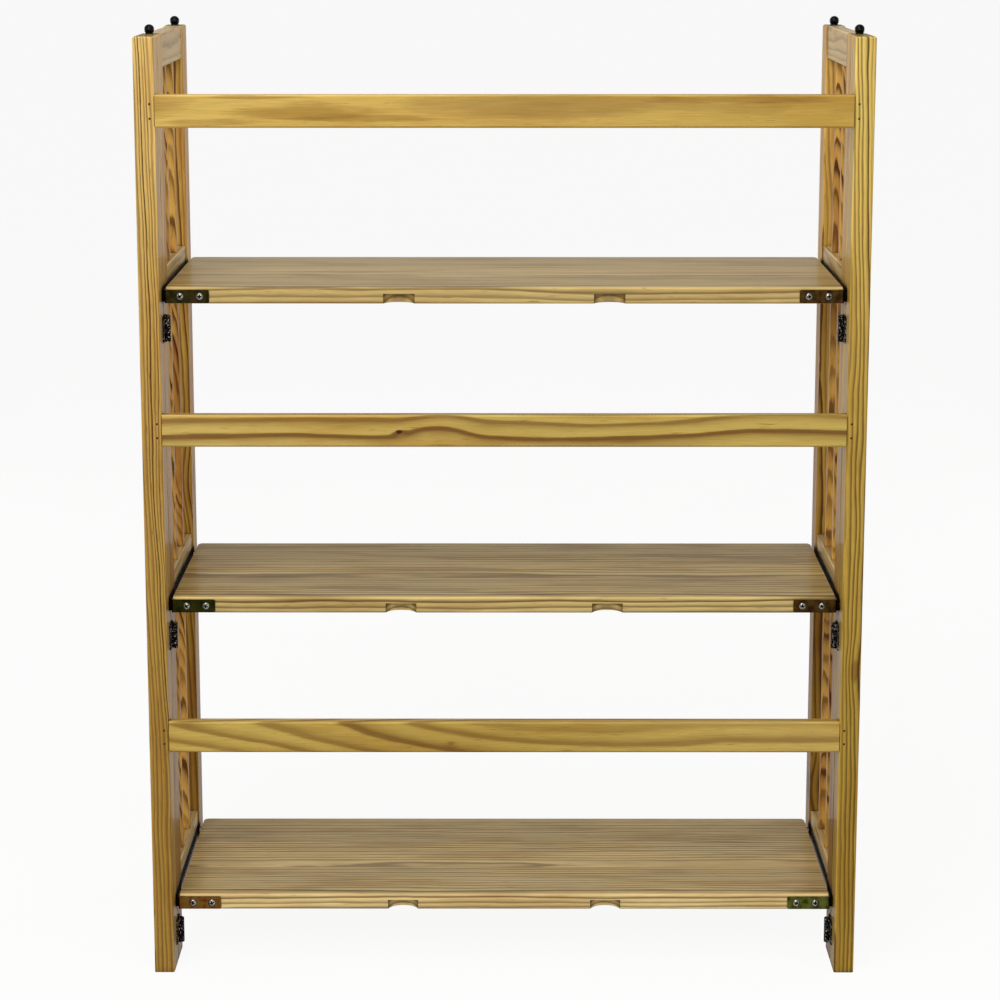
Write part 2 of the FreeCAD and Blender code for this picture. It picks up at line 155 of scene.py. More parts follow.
woods = {
    "post": {"early": "#e9c373", "late": "#44220a", "warm": "#c48e42", "ring": 3.2,
             "pith": (120, 80), "wander": 3.0, "ripple": 0.8, "contrast": 1.0, "warmth": 0.4,
             "coat": 0.12, "arris": 1.3, "tilt": (0, 1.2),
             "alongTint": ("#cabc95", "#ccc19e", "#ded4ba", "#ffffff")},
    "stile": {"early": "#e2b75f", "late": "#542a0c", "warm": "#b87432", "ring": 4.0,
              "pith": (60, 90), "wander": 5.0, "ripple": 0.9, "contrast": 0.95, "warmth": 0.7,
              "coat": 0.12, "arris": 1.2, "taper": 0.02,
              "alongTint": ("#ada07c", "#c4b896", "#eee8d6", "#ffffff")},
    "rail": {"early": "#d5b25e", "late": "#74481a", "warm": "#b88a3a", "ring": 6.5,
             "pith": (14, 50), "wander": 4.0, "ripple": 0.6, "contrast": 0.75, "warmth": 0.5,
             "coat": 0.12, "arris": 1.2},
    "panelRail": {"early": "#cfb276", "late": "#7c5a2e", "warm": "#b08a50", "ring": 5.5,
                  "pith": (40, 30), "wander": 5.0, "ripple": 0.9, "contrast": 0.65, "warmth": 0.4,
                  "coat": 0.12, "arris": 1.2},
    "spindle": {"early": "#e0ae56", "late": "#4e220a", "warm": "#a25e22", "ring": 2.4,
                "pith": (4, 22), "wander": 4.0, "ripple": 0.9, "contrast": 1.0, "warmth": 0.7,
                "coat": 0.06, "arris": 1.2, "taper": 0.09},
    "board": {"early": "#d9bd7a", "late": "#4a300f", "warm": "#a07a40", "ring": 5.6,
              "pith": (50, 60), "wander": 4.0, "ripple": 0.6, "contrast": 0.85, "warmth": 0.6,
              "coat": 0.12, "arris": 1.45, "stave": 82.5, "paintedEdgeLight": 1.12},
}


def knot(at, size, bend, stain, dark):
    # a knot or resin mark: its middle, its reach along x, y and z, how far it pushes the rings
    # aside, and the colour and strength of its stain
    return {"at": at, "size": size, "bend": bend, "stain": stain, "dark": dark}


knotBrown = "#3c1a08"
resinBrown = "#7a4212"
honey = "#96702a"
# what single pieces have of their own
ownWood = {
    "back_post_right": {
        "early": "#ebca6a", "late": "#4a2c06", "warm": "#c0963c", "ring": 3.9, "tilt": (0, 0.6),
        "knots": [knot((342, -146, 310), (5, 30, 14), 2.5, resinBrown, 0.5)]},
    "front_stile_left": {"knots": [knot((-331, 124, 450), (20, 14, 18), 7.0, "#8a4a1c", 0.5)]},
    "front_stile_right": {"knots": [knot((331, 124, 112), (20, 12, 18), 4.0, "#4a1c0a", 0.8)]},
    "spindles_middle_left": {"knots": [knot((-337, 50, 462), (8, 8, 16), 3.0, resinBrown, 0.4)]},
    "back_rail_top": {
        "pith": (5, 58), "ring": 16.0, "contrast": 0.45, "alongTint": ("#ffffff", "#f8f7f0", "#e6e0c0"),
        "knots": [knot((-190, -146, 852), (78, 60, 9), 0.5, honey, 0.55),
                  knot((-130, -146, 846), (70, 60, 4), 0.0, honey, 0.5),
                  knot((-285, -146, 842), (50, 60, 4), 0.0, resinBrown, 0.3),
                  knot((-240, -146, 866), (60, 60, 2.5), 0.0, resinBrown, 0.4),
                  knot((235, -146, 864), (110, 60, 5), 0.0, resinBrown, 0.35)]},
    "back_rail_middle": {
        "early": "#d6b968", "pith": (-37, 48), "ring": 9.0, "contrast": 0.95, "tilt": (0, 0.3),
        "alongTint": ("#ffffff", "#f0eede", "#f3f1de"),
        "knots": [knot((-101, -146, 547), (3.6, 6, 2.2), -2.0, knotBrown, 0.95),
                  knot((-62, -146, 545), (16, 40, 12), -5.0, resinBrown, 0.15),
                  knot((93, -146, 545), (60, 40, 14), 5.0, resinBrown, 0.0)]},
    "back_rail_bottom": {
        "early": "#d6b764", "pith": (26, 44), "ring": 10.0, "contrast": 0.8,
        "alongTint": ("#fdfcee", "#e6e1ca", "#ffffff"),
        "knots": [knot((-450, -146, 245), (150, 80, 60), 50.0, honey, 0.0),
                  knot((-52, -146, 237), (4, 6, 2.2), 1.5, resinBrown, 0.4)]},
    "shelf_board_top": {"early": "#cfb271", "contrast": 0.7, "warmth": 0.4},
    "shelf_board_bottom": {"early": "#e4c98c", "late": "#63451c", "ring": 5.0, "contrast": 0.85,
                           "warmth": 0.4, "paintedEdgeLight": 1.4},
}
grainTurns = {"X": (0, -math.pi / 2, 0), "Y": (math.pi / 2, 0, 0), "Z": (0, 0, 0)}


def lacqueredPine(name, wood, grain, box, seed):
    # Pine, planed, sanded and sprayed with clear satin lacquer: pale springwood, amber summerwood
    # lines with one sharp side, fine fibres along the grain, darker end grain, and a soft gloss.
    draw = np.random.default_rng(seed)
    material, tree = newMaterial(name)
    coords = addNode(tree, "ShaderNodeTexCoord").outputs
    tilt = Euler([math.radians(angle) for angle in (*wood.get("tilt", (0, 0)), 0)]).to_matrix()
    turn = tilt @ Euler(grainTurns[grain]).to_matrix()
    heart = draw.uniform(*pine["trunk"])
    pith = np.array(wood["pith"]) + draw.uniform(-pine["pithSpread"], pine["pithSpread"], 2)
    start = Vector((*pith, heart)) - turn @ (Vector(middleOf(box)) / mm)
    place = addNode(tree, "ShaderNodeMapping",
                    {"Scale": (1 / mm,) * 3, "Rotation": turn.to_euler(), "Location": start},
                    {"Vector": coords["Object"]})
    along = addNode(tree, "ShaderNodeSeparateXYZ", None, {0: place}).outputs["Z"]

    if "stave" in wood:
        # edge-glued staves, each cut from another place in the tree
        across = addNode(tree, "ShaderNodeSeparateXYZ", None, {0: place}).outputs["Y"]
        share = addNode(tree, "ShaderNodeMath", {"operation": "MULTIPLY_ADD", 1: 1 / wood["stave"],
                                                 2: -pith[1] / wood["stave"]}, {0: across})
        index = addNode(tree, "ShaderNodeMath", {"operation": "ROUND"}, {0: share})
        back = addNode(tree, "ShaderNodeMath", {"operation": "MULTIPLY", 1: -wood["stave"]},
                       {0: index})
        centred = addNode(tree, "ShaderNodeCombineXYZ", None, {"Y": back})
        own = addNode(tree, "ShaderNodeTexWhiteNoise", {"noise_dimensions": "1D"}, {"W": index})
        staveTone = addNode(tree, "ShaderNodeMapRange",
                            {"To Min": pine["staveTone"][0], "To Max": pine["staveTone"][1]},
                            {"Value": own.outputs["Value"]})
        reach = pine["staveJump"]
        jump = addNode(tree, "ShaderNodeVectorMath",
                       {"operation": "MULTIPLY_ADD", 1: reach, 2: (-reach[0] / 2, -reach[1] / 2, 0)},
                       {0: own.outputs["Color"]})
        moved = addNode(tree, "ShaderNodeVectorMath", {"operation": "ADD"}, {0: place, 1: centred})
        place = addNode(tree, "ShaderNodeVectorMath", {"operation": "ADD"}, {0: moved, 1: jump})

    def cloud(size, detail=2.0, roughness=0.5):
        # noise stretched along the grain, with features of that size across and along it
        scales = (1 / size[0], 1 / size[0], 1 / size[1])
        scaled = addNode(tree, "ShaderNodeVectorMath", {"operation": "MULTIPLY", 1: scales},
                         {0: place})
        noise = addNode(tree, "ShaderNodeTexNoise",
                        {"Scale": 1.0, "Detail": detail, "Roughness": roughness}, {"Vector": scaled})
        return noise.outputs

    def bent(source, push, amount):
        # moves the place across the grain by up to that many millimetres; the noise that pushes
        # keeps between a quarter and three quarters
        shift = addNode(tree, "ShaderNodeVectorMath",
                        {"operation": "MULTIPLY_ADD", 1: (4 * amount, 4 * amount, 0),
                         2: (-2 * amount, -2 * amount, 0)}, {0: push})
        return addNode(tree, "ShaderNodeVectorMath", {"operation": "ADD"}, {0: source, 1: shift})

    # how far a place lies from the pith, which says in which year it grew
    wandering = bent(place, cloud(pine["drift"])["Color"], wood["wander"])
    rippled = bent(wandering, cloud(pine["ripple"], 3.0)["Color"], wood["ripple"])
    flat = addNode(tree, "ShaderNodeVectorMath", {"operation": "MULTIPLY", 1: (1, 1, 0)},
                   {0: rippled})
    length = addNode(tree, "ShaderNodeVectorMath", {"operation": "LENGTH"}, {0: flat})
    radius = addNode(tree, "ShaderNodeMath", {"operation": "MULTIPLY_ADD", 1: wood.get("taper", 0)},
                     {0: along, 2: length.outputs["Value"]})

    stains = []
    for mark in wood.get("knots", []):
        # grain flows round a knot, and the knot and the resin round it have a stain of their own
        toward = addNode(tree, "ShaderNodeVectorMath",
                         {"operation": "SUBTRACT", 1: [c * mm for c in mark["at"]]},
                         {0: coords["Object"]})
        stretch = addNode(tree, "ShaderNodeVectorMath",
                          {"operation": "MULTIPLY", 1: [1 / (s * mm) for s in mark["size"]]},
                          {0: toward})
        away = addNode(tree, "ShaderNodeVectorMath", {"operation": "LENGTH"}, {0: stretch})
        away = away.outputs["Value"]
        near = addNode(tree, "ShaderNodeMapRange",
                       {"interpolation_type": "SMOOTHSTEP", "From Min": pine["bendReach"][0],
                        "From Max": pine["bendReach"][1], "To Min": 1.0, "To Max": 0.0},
                       {"Value": away})
        radius = addNode(tree, "ShaderNodeMath", {"operation": "MULTIPLY_ADD", 1: mark["bend"]},
                         {0: near, 2: radius})
        ragged = addNode(tree, "ShaderNodeMath",
                         {"operation": "MULTIPLY_ADD", 1: pine["raggedness"]},
                         {0: cloud(pine["ragged"])["Fac"], 2: away})
        core = addNode(tree, "ShaderNodeMapRange",
                       {"interpolation_type": "SMOOTHSTEP", "From Min": pine["stainReach"][0],
                        "From Max": pine["stainReach"][1], "To Min": mark["dark"], "To Max": 0.0},
                       {"Value": ragged})
        stains.append((core, linear(mark["stain"])))

    # good and poor summers: rings come closer and further apart, and some are bolder
    count = addNode(tree, "ShaderNodeMath", {"operation": "DIVIDE", 1: wood["ring"]}, {0: radius})
    pace, amount = pine["ringChange"]
    years = addNode(tree, "ShaderNodeMath", {"operation": "MULTIPLY", 1: pace}, {0: count})
    uneven = addNode(tree, "ShaderNodeTexNoise",
                     {"noise_dimensions": "1D", "Scale": 1.0, "Detail": 1.0}, {"W": years})
    rings = addNode(tree, "ShaderNodeMath", {"operation": "MULTIPLY_ADD", 1: amount},
                    {0: uneven, 2: count})
    phase = addNode(tree, "ShaderNodeMath", {"operation": "FRACT"}, {0: rings})
    year = addNode(tree, "ShaderNodeMath", {"operation": "FLOOR"}, {0: rings})
    summer = addNode(tree, "ShaderNodeValToRGB", None, {"Fac": phase})
    setRamp(summer, [(season, grey(tone)) for season, tone in pine["ringTones"]])
    strength = addNode(tree, "ShaderNodeTexWhiteNoise", {"noise_dimensions": "1D"}, {"W": year})
    bold = addNode(tree, "ShaderNodeMapRange",
                   {"To Min": pine["faintest"] * wood["contrast"], "To Max": wood["contrast"]},
                   {"Value": strength.outputs["Value"]})
    late = addNode(tree, "ShaderNodeMath", {"operation": "MULTIPLY"}, {0: summer, 1: bold})
    flecks = addNode(tree, "ShaderNodeMapRange",
                     {"interpolation_type": "SMOOTHSTEP", "From Min": pine["fleckRange"][0],
                      "From Max": pine["fleckRange"][1], "To Max": pine["fleckTone"]},
                     {"Value": cloud(pine["fleck"])["Fac"]})
    lines = addNode(tree, "ShaderNodeMath", {"operation": "MAXIMUM"}, {0: late, 1: flecks})

    fibre = cloud(pine["fibre"], 3.0, 0.6)["Fac"]
    patch = cloud(pine["patch"], 3.0)["Fac"]
    warmth = addNode(tree, "ShaderNodeMapRange",
                     {"interpolation_type": "SMOOTHSTEP", "From Min": pine["warmRange"][0],
                      "From Max": pine["warmRange"][1], "To Max": wood["warmth"]},
                     {"Value": patch})
    ground = addNode(tree, "ShaderNodeMix",
                     {"data_type": "RGBA", 6: linear(wood["early"]), 7: linear(wood["warm"])},
                     {0: warmth})
    lined = addNode(tree, "ShaderNodeMix", {"data_type": "RGBA", 7: linear(wood["late"])},
                    {0: lines, 6: ground.outputs[2]})
    colour = lined.outputs[2]
    for core, stain in stains:
        colour = addNode(tree, "ShaderNodeMix", {"data_type": "RGBA", 7: stain},
                         {0: core, 6: colour}).outputs[2]
    # a tint that changes along the piece, from the low or left end to the other
    if "alongTint" in wood:
        half = max(np.array(box[1]) - np.array(box[0])) / mm / 2
        share = addNode(tree, "ShaderNodeMapRange",
                        {"From Min": heart - half, "From Max": heart + half}, {"Value": along})
        lengthTint = addNode(tree, "ShaderNodeValToRGB", None, {"Fac": share})
        places = np.linspace(0, 1, len(wood["alongTint"]))
        setRamp(lengthTint, [(place, linear(tint)) for place, tint in zip(places, wood["alongTint"])])
        colour = addNode(tree, "ShaderNodeVectorMath", {"operation": "MULTIPLY"},
                         {0: colour, 1: lengthTint})

    streak = addNode(tree, "ShaderNodeMapRange",
                     {"From Min": pine["streakRange"][0], "From Max": pine["streakRange"][1],
                      "To Min": pine["streakTone"][0], "To Max": pine["streakTone"][1]},
                     {"Value": fibre})
    # end grain drinks more lacquer and goes darker and duller; rounded arrises are drawn lighter,
    # part wear and part painted highlight, but not the ones that look down
    facing = addNode(tree, "ShaderNodeVectorMath",
                     {"operation": "DOT_PRODUCT", 1: [float(grain == axis) for axis in "XYZ"]},
                     {0: coords["Normal"]}).outputs["Value"]
    ends = addNode(tree, "ShaderNodeMath", {"operation": "ABSOLUTE"}, {0: facing})
    dull = addNode(tree, "ShaderNodeMapRange",
                   {"From Min": pine["endFrom"], "To Min": 1.0, "To Max": pine["endTone"]},
                   {"Value": ends})
    squared = addNode(tree, "ShaderNodeVectorMath", {"operation": "MULTIPLY"},
                      {0: coords["Normal"], 1: coords["Normal"]})
    flatness = addNode(tree, "ShaderNodeVectorMath", {"operation": "LENGTH"}, {0: squared})
    rounded = addNode(tree, "ShaderNodeMapRange",
                      {"From Min": pine["roundRange"][0], "From Max": pine["roundRange"][1],
                       "To Min": wood["arris"] - 1, "To Max": 0.0},
                      {"Value": flatness.outputs["Value"]})
    lie = addNode(tree, "ShaderNodeSeparateXYZ", None, {0: coords["Normal"]}).outputs["Z"]
    upward = addNode(tree, "ShaderNodeMapRange",
                     {"From Min": pine["underRange"][0], "From Max": pine["underRange"][1]},
                     {"Value": lie})
    wornAndHighlit = addNode(tree, "ShaderNodeMath", {"operation": "MULTIPLY_ADD", 2: 1.0},
                   {0: rounded, 1: upward})
    tone = addNode(tree, "ShaderNodeMath", {"operation": "MULTIPLY"}, {0: streak, 1: dull})
    tone = addNode(tree, "ShaderNodeMath", {"operation": "MULTIPLY"}, {0: tone, 1: wornAndHighlit})
    # painted light: the long edges, which face along y, are drawn lighter than the faces
    if "paintedEdgeLight" in wood:
        outward = addNode(tree, "ShaderNodeSeparateXYZ", None, {0: squared}).outputs["Y"]
        edges = addNode(tree, "ShaderNodeMapRange",
                        {"From Min": pine["paintedEdgeRange"][0], "From Max": pine["paintedEdgeRange"][1],
                         "To Min": 1.0, "To Max": wood["paintedEdgeLight"]}, {"Value": outward})
        tone = addNode(tree, "ShaderNodeMath", {"operation": "MULTIPLY"}, {0: tone, 1: edges})
    if "stave" in wood:
        tone = addNode(tree, "ShaderNodeMath", {"operation": "MULTIPLY"}, {0: tone, 1: staveTone})
    toned = addNode(tree, "ShaderNodeVectorMath", {"operation": "SCALE"}, {0: colour, "Scale": tone})
    # painted shade: ambient occlusion darkens the narrow gaps between pieces
    gap = addNode(tree, "ShaderNodeAmbientOcclusion",
                  {"samples": 8, "Distance": pine["paintedGapShadeReach"] * mm})
    unshaded = addNode(tree, "ShaderNodeMapRange",
                    {"interpolation_type": "SMOOTHSTEP", "From Min": pine["paintedGapShadeOpenness"][0],
                     "From Max": pine["paintedGapShadeOpenness"][1]}, {"Value": gap.outputs["AO"]})
    final = addNode(tree, "ShaderNodeMix", {"data_type": "RGBA", 6: linear(pine["paintedGapShade"])},
                    {0: unshaded, 7: toned}).outputs[2]

    satin = addNode(tree, "ShaderNodeMapRange",
                    {"To Min": pine["roughness"][0], "To Max": pine["roughness"][1]},
                    {"Value": patch})
    rough = addNode(tree, "ShaderNodeMapRange",
                    {"From Min": pine["endFrom"], "To Max": pine["endRoughness"]}, {"Value": ends})
    rough = addNode(tree, "ShaderNodeMath", {"operation": "ADD"}, {0: satin, 1: rough})
    # in the painted shade the wood is fully rough and has no coat, so no gloss lightens it
    rough = addNode(tree, "ShaderNodeMix", {"data_type": "FLOAT", 2: 1.0}, {0: unshaded, 3: rough})
    coat = addNode(tree, "ShaderNodeMath", {"operation": "MULTIPLY", 1: wood["coat"]}, {0: unshaded})
    # hard summerwood stands a little proud
    ridge = addNode(tree, "ShaderNodeMath", {"operation": "MULTIPLY_ADD", 1: pine["ridge"]},
                    {0: late, 2: fibre})
    bump = addNode(tree, "ShaderNodeBump", {"Strength": 0.5, "Distance": pine["fibreDepth"] * mm},
                   {"Height": ridge})
    shader = addNode(tree, "ShaderNodeBsdfPrincipled",
                     {"IOR": 1.5, "Specular IOR Level": pine["specular"],
                      "Coat Roughness": pine["coatRoughness"], "Coat IOR": pine["coatIOR"]},
                     {"Base Color": final, "Roughness": rough, "Normal": bump, "Coat Weight": coat})
    addNode(tree, "ShaderNodeOutputMaterial", None, {"Surface": shader})
    return material


woodPieces = [(f"back_post_{side}", "post", "Z") for side in sides]
woodPieces += [(f"back_rail_{level}", "rail", "X") for level in levels]
for side in sides:
    woodPieces += [(f"rear_stile_{side}", "stile", "Z"), (f"front_stile_{side}", "stile", "Z")]
    woodPieces += [(f"panel_top_rail_{side}", "panelRail", "Y")]
    woodPieces += [(f"panel_cross_rail_{level}_{side}", "panelRail", "Y") for level in levels]
    woodPieces += [(f"spindles_{level}_{side}", "spindle", "Z") for level in levels]
woodPieces += [(f"shelf_board_{level}", "board", "X") for level in levels]

for seed, (node, kind, grain) in enumerate(woodPieces):
    wood = {**woods[kind], **ownWood.get(node, {})}
    dress(node, lacqueredPine("lacqueredPine_" + node, wood, grain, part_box(node), seed))
print("stage: pine on", len(woodPieces), "nodes")


steel = {
    "tintPlaces": (0.36, 0.64),   # the values of the noise that carry the first and the last tint
    "grit": 0.6,
    "gritRoughness": (0.7, 1.3),
    # painted shade: its colour, and how much rougher it makes the surface
    "paintedShade": "#0e0b07",
    "paintedShadeRoughness": 0.4,
}


def coatedSteel(name, tints, blotch, roughness, metallic=1.0, specular=0.5, tooth=0.004):
    # Pressed steel with a thin plating or paint: close tints in soft blotches, which are blotch mm
    # across, and a fine grain, tooth mm deep, that blurs its lights. paintedShade is a mesh
    # attribute, 1 where shade is painted, darker and rougher: in the screws' recesses and round
    # their heads' rims.
    material, tree = newMaterial(name)
    coords = addNode(tree, "ShaderNodeTexCoord")
    blotches = addNode(tree, "ShaderNodeTexNoise", {"Scale": 1 / (blotch * mm), "Detail": 3.0},
                       {"Vector": coords.outputs["Object"]})
    tint = addNode(tree, "ShaderNodeValToRGB", None, {"Fac": blotches})
    places = np.linspace(*steel["tintPlaces"], len(tints))
    setRamp(tint, [(place, linear(colour)) for place, colour in zip(places, tints)], smooth=True)
    # painted shade from the mesh attribute darkens the tint
    paintedShade = addNode(tree, "ShaderNodeAttribute", {"attribute_name": "paintedShade"}).outputs["Fac"]
    shadedTint = addNode(tree, "ShaderNodeMix", {"data_type": "RGBA", 7: linear(steel["paintedShade"])},
                     {0: paintedShade, 6: tint.outputs["Color"]})
    grit = addNode(tree, "ShaderNodeTexNoise", {"Scale": 1 / (steel["grit"] * mm), "Detail": 2.0},
                   {"Vector": coords.outputs["Object"]})
    smoothest, roughest = steel["gritRoughness"]
    rough = addNode(tree, "ShaderNodeMapRange",
                    {"To Min": roughness * smoothest, "To Max": roughness * roughest},
                    {"Value": grit})
    rough = addNode(tree, "ShaderNodeMath",
                    {"operation": "MULTIPLY_ADD", 1: steel["paintedShadeRoughness"], "use_clamp": True},
                    {0: paintedShade, 2: rough})
    bump = addNode(tree, "ShaderNodeBump", {"Strength": 0.3, "Distance": tooth * mm},
                   {"Height": grit})
    shader = addNode(tree, "ShaderNodeBsdfPrincipled",
                     {"Metallic": metallic, "Specular IOR Level": specular},
                     {"Base Color": shadedTint.outputs[2], "Roughness": rough, "Normal": bump})
    addNode(tree, "ShaderNodeOutputMaterial", None, {"Surface": shader})
    return material


# lacquered: a dull black skin with small pale specks, painted highlights, which seven dark tints
# to one keep small
blackLacqueredSteel = coatedSteel("blackLacqueredSteel", ["#060302"] * 7 + ["#d2c8bc"], 1.3, 0.5,
                                  metallic=0.0, specular=0.05, tooth=0.03)
# blackened in oil: brown-black, with hardly a gleam
blackenedSteel = coatedSteel("oilBlackenedSteel", ("#0a0402", "#120803"), 3.0, 0.8, metallic=0.0,
                             specular=0.02)
# enamelled: deep black with small sharp lights
glossBlackEnamel = coatedSteel("glossBlackEnamelledSteel", ("#020202", "#030303"), 4.0, 0.08,
                               metallic=0.0, specular=0.12)
# zinc plated and left bright: pale grey, mirroring what is near
brightZincPlate = coatedSteel("brightZincPlatedSteel", ("#a09e94", "#75736a"), 2.0, 0.22)
# filler over the nail heads: plain dark brown
nailFiller = coatedSteel("darkNailFiller", ("#3a200c", "#4a2e16"), 1.0, 0.7, metallic=0.0,
                         specular=0.1)
# chromate over zinc: a dark sheen, in other tints on each bracket as the bath left it
bracketTints = {
    ("top", "left"): ("#1a1707", "#26220d", "#312512"),
    ("top", "right"): ("#1c1005", "#2b1d0a", "#35250f"),
    ("middle", "left"): ("#181a05", "#222309", "#2b270d"),
    ("middle", "right"): ("#25150a", "#33230b", "#3b2b11"),
    ("bottom", "left"): ("#5a2c12", "#6b4418", "#5e5220"),
    ("bottom", "right"): ("#2c2e09", "#454a18", "#53582a"),
}
for (level, side), tints in bracketTints.items():
    chromated = coatedSteel(f"chromatedSteel_{level}_{side}", tints, 7.0, 0.34)
    dress(f"shelf_bracket_{level}_{side}", chromated)
for side in sides:
    dress(f"rail_brads_{side}", nailFiller)
print("stage: metal finishes")


welds = {"soup": 0.002, "doubles": 0.001, "slivers": 0.0005, "sharpFrom": 35}


def solidBoxes(node):
    # the box of each separate solid of a CAD node, from a merged copy of its mesh
    soup = bmesh.new()
    soup.from_mesh(nodes[node].data)
    bmesh.ops.remove_doubles(soup, verts=soup.verts, dist=welds["soup"] * mm)
    boxes, seen = [], set()
    for first in soup.verts:
        if first in seen:
            continue
        island, edge = {first}, [first]
        while edge:
            for link in edge.pop().link_edges:
                fresh = set(link.verts) - island
                island |= fresh
                edge += fresh
        seen |= island
        points = np.array([v.co for v in island])
        boxes.append((points.min(0), points.max(0)))
    soup.free()
    return sorted(boxes, key=lambda box: tuple(np.round(middleOf(box), 4)))


def gridFaces(rows, columns):
    # quads between neighbouring rings of points; the last column joins the first
    row, column = np.meshgrid(np.arange(rows - 1), np.arange(columns), indexing="ij")
    after = (column + 1) % columns
    return np.stack([row * columns + column, row * columns + after,
                     (row + 1) * columns + after, (row + 1) * columns + column], -1).reshape(-1, 4)


def turned(profile, around=40):
    # surface of revolution: the profile's point (radius, height), turned by angle a, is
    # (radius cos a, radius sin a, height)
    radius, height = np.array(profile, float).T[:, :, None] * mm
    angle = np.linspace(0, 2 * np.pi, around, endpoint=False)
    points = np.stack([radius * np.cos(angle), radius * np.sin(angle), height + 0 * angle], -1)
    return points.reshape(-1, 3), gridFaces(len(profile), around)


def arc(centre, radius, start, end, steps):
    # points of a profile on a circle: centre plus radius times (cos t, sin t), with t in degrees
    t = np.radians(np.linspace(start, end, steps))
    return list(zip(centre[0] + radius * np.cos(t), centre[1] + radius * np.sin(t)))


def crossHead(screw, spin):
    # screw with a crossed recess: the profile's rings, turned, where the head's height sinks by the
    # recess depth times how far the point lies inside either arm of the cross
    profile = np.array(screw["profile"], float)
    headEnd = int(np.argmax(profile[:, 0]))
    steps = np.linspace(0, headEnd, screw["rings"])
    head = np.stack([np.interp(steps, np.arange(headEnd + 1), profile[:headEnd + 1, i])
                     for i in (0, 1)], -1)
    rings = np.concatenate([head, profile[headEnd + 1:]])
    angle = np.linspace(0, 2 * np.pi, screw["around"], endpoint=False)
    x = rings[:, :1] * np.cos(angle)
    y = rings[:, :1] * np.sin(angle)
    u = x * np.cos(spin) + y * np.sin(spin)
    v = y * np.cos(spin) - x * np.sin(spin)

    def arm(acrossArm, alongArm):
        slope = screw["slotSlope"]
        inside = np.clip((screw["slotWidth"] / 2 - np.abs(acrossArm)) / slope, 0, 1)
        return inside * np.clip((screw["slotReach"] - np.abs(alongArm)) / (2 * slope), 0, 1)

    recess = np.maximum(arm(u, v), arm(v, u)) * (np.arange(len(rings)) < len(head))[:, None]
    rim = (rings[:, :1] > screw["rim"]) + 0 * angle
    z = rings[:, 1:] - screw["slotDepth"] * recess
    # painted shade in the cross recess and round the rim of the head
    paintedShade = np.maximum(recess, rim)
    points = np.stack([x, y, z], -1).reshape(-1, 3) * mm
    return points, gridFaces(len(rings), len(angle)), paintedShade.ravel()


def slab(low, high, corner, edge=0.15, step=15.0):
    # rounded plate, x its thickness and low and high two opposite corners: the outline is the four
    # corners' centres plus the corner radius times (cos t, sin t), with t in steps of step degrees,
    # drawn as rings that draw in by the eased edge at both faces
    low, high = np.array(low, float), np.array(high, float)
    angle = np.radians(np.arange(0, 360, step) + step / 2)
    outward = np.stack([np.cos(angle), np.sin(angle)], -1)
    half = (high - low)[1:] / 2
    centre = (high + low)[1:] / 2
    steps = [(low[0], corner), (low[0], edge), (low[0] + edge, 0.0),
             (high[0] - edge, 0.0), (high[0], edge), (high[0], corner)]
    cornerAt = centre + np.sign(outward) * (half - corner)
    rows = [np.column_stack([np.full(len(angle), x), cornerAt + outward * (corner - inset)])
            for x, inset in steps]
    first = np.tile(np.append(low[0], centre), (len(angle), 1))
    last = np.tile(np.append(high[0], centre), (len(angle), 1))
    return np.concatenate([first] + rows + [last]) * mm, gridFaces(len(steps) + 2, len(angle))


def laid(part, base, direction):
    # the part's own z axis is laid along direction, and its origin comes to base
    w = np.array(direction, float)
    u = np.cross((0, 0, 1) if abs(w[2]) < 0.5 else (1, 0, 0), w)
    u /= np.linalg.norm(u)
    return (np.array(base) + part[0] @ np.stack([u, np.cross(w, u), w]), *part[1:])


def addPiece(name, parts, body, material, replaced):
    # joins the parts in one mesh, closes its poles and seams and turns its faces outwards; a part
    # is its points, its faces and, where it has painted shade, the painted shade at each point
    offsets = np.cumsum([0] + [len(part[0]) for part in parts])
    faces = np.concatenate([part[1] + offset for part, offset in zip(parts, offsets)])
    paintedShade = np.concatenate([part[2] if len(part) > 2 else np.zeros(len(part[0])) for part in parts])
    mesh = bpy.data.meshes.new(name)
    mesh.from_pydata(np.concatenate([part[0] for part in parts]).tolist(), [], faces.tolist())
    mesh.attributes.new("paintedShade", "FLOAT", "POINT").data.foreach_set("value", paintedShade)
    work = bmesh.new()
    work.from_mesh(mesh)
    bmesh.ops.remove_doubles(work, verts=work.verts, dist=welds["doubles"] * mm)
    bmesh.ops.dissolve_degenerate(work, edges=work.edges, dist=welds["slivers"] * mm)
    bmesh.ops.recalc_face_normals(work, faces=work.faces)
    work.to_mesh(mesh)
    work.free()
    mesh.shade_smooth()
    mesh.set_sharp_from_angle(angle=math.radians(welds["sharpFrom"]))
    mesh.materials.append(material)
    piece = bpy.data.objects.new(name, mesh)
    bpy.context.scene.collection.objects.link(piece)
    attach(piece, body)
    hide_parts(replaced)


def fromWood(node, profile, direction, around=36):
    # one turned part for each solid of the node, starting at the solid's end in the wood
    axis = int(np.argmax(np.abs(direction)))
    parts = []
    for box in solidBoxes(node):
        base = middleOf(box)
        base[axis] = box[0 if direction[axis] > 0 else 1][axis]
        parts.append(laid(turned(profile, around), base, direction))
    return parts


def screwsAt(node, screw, outwards, face, spins):
    # one screw for each solid of the node, its head on the face
    axis = int(np.argmax(np.abs(outwards)))
    parts = []
    for box in solidBoxes(node):
        base = middleOf(box)
        base[axis] = face
        parts.append(laid(crossHead(screw, spins.uniform(0, np.pi)), base, outwards))
    return parts


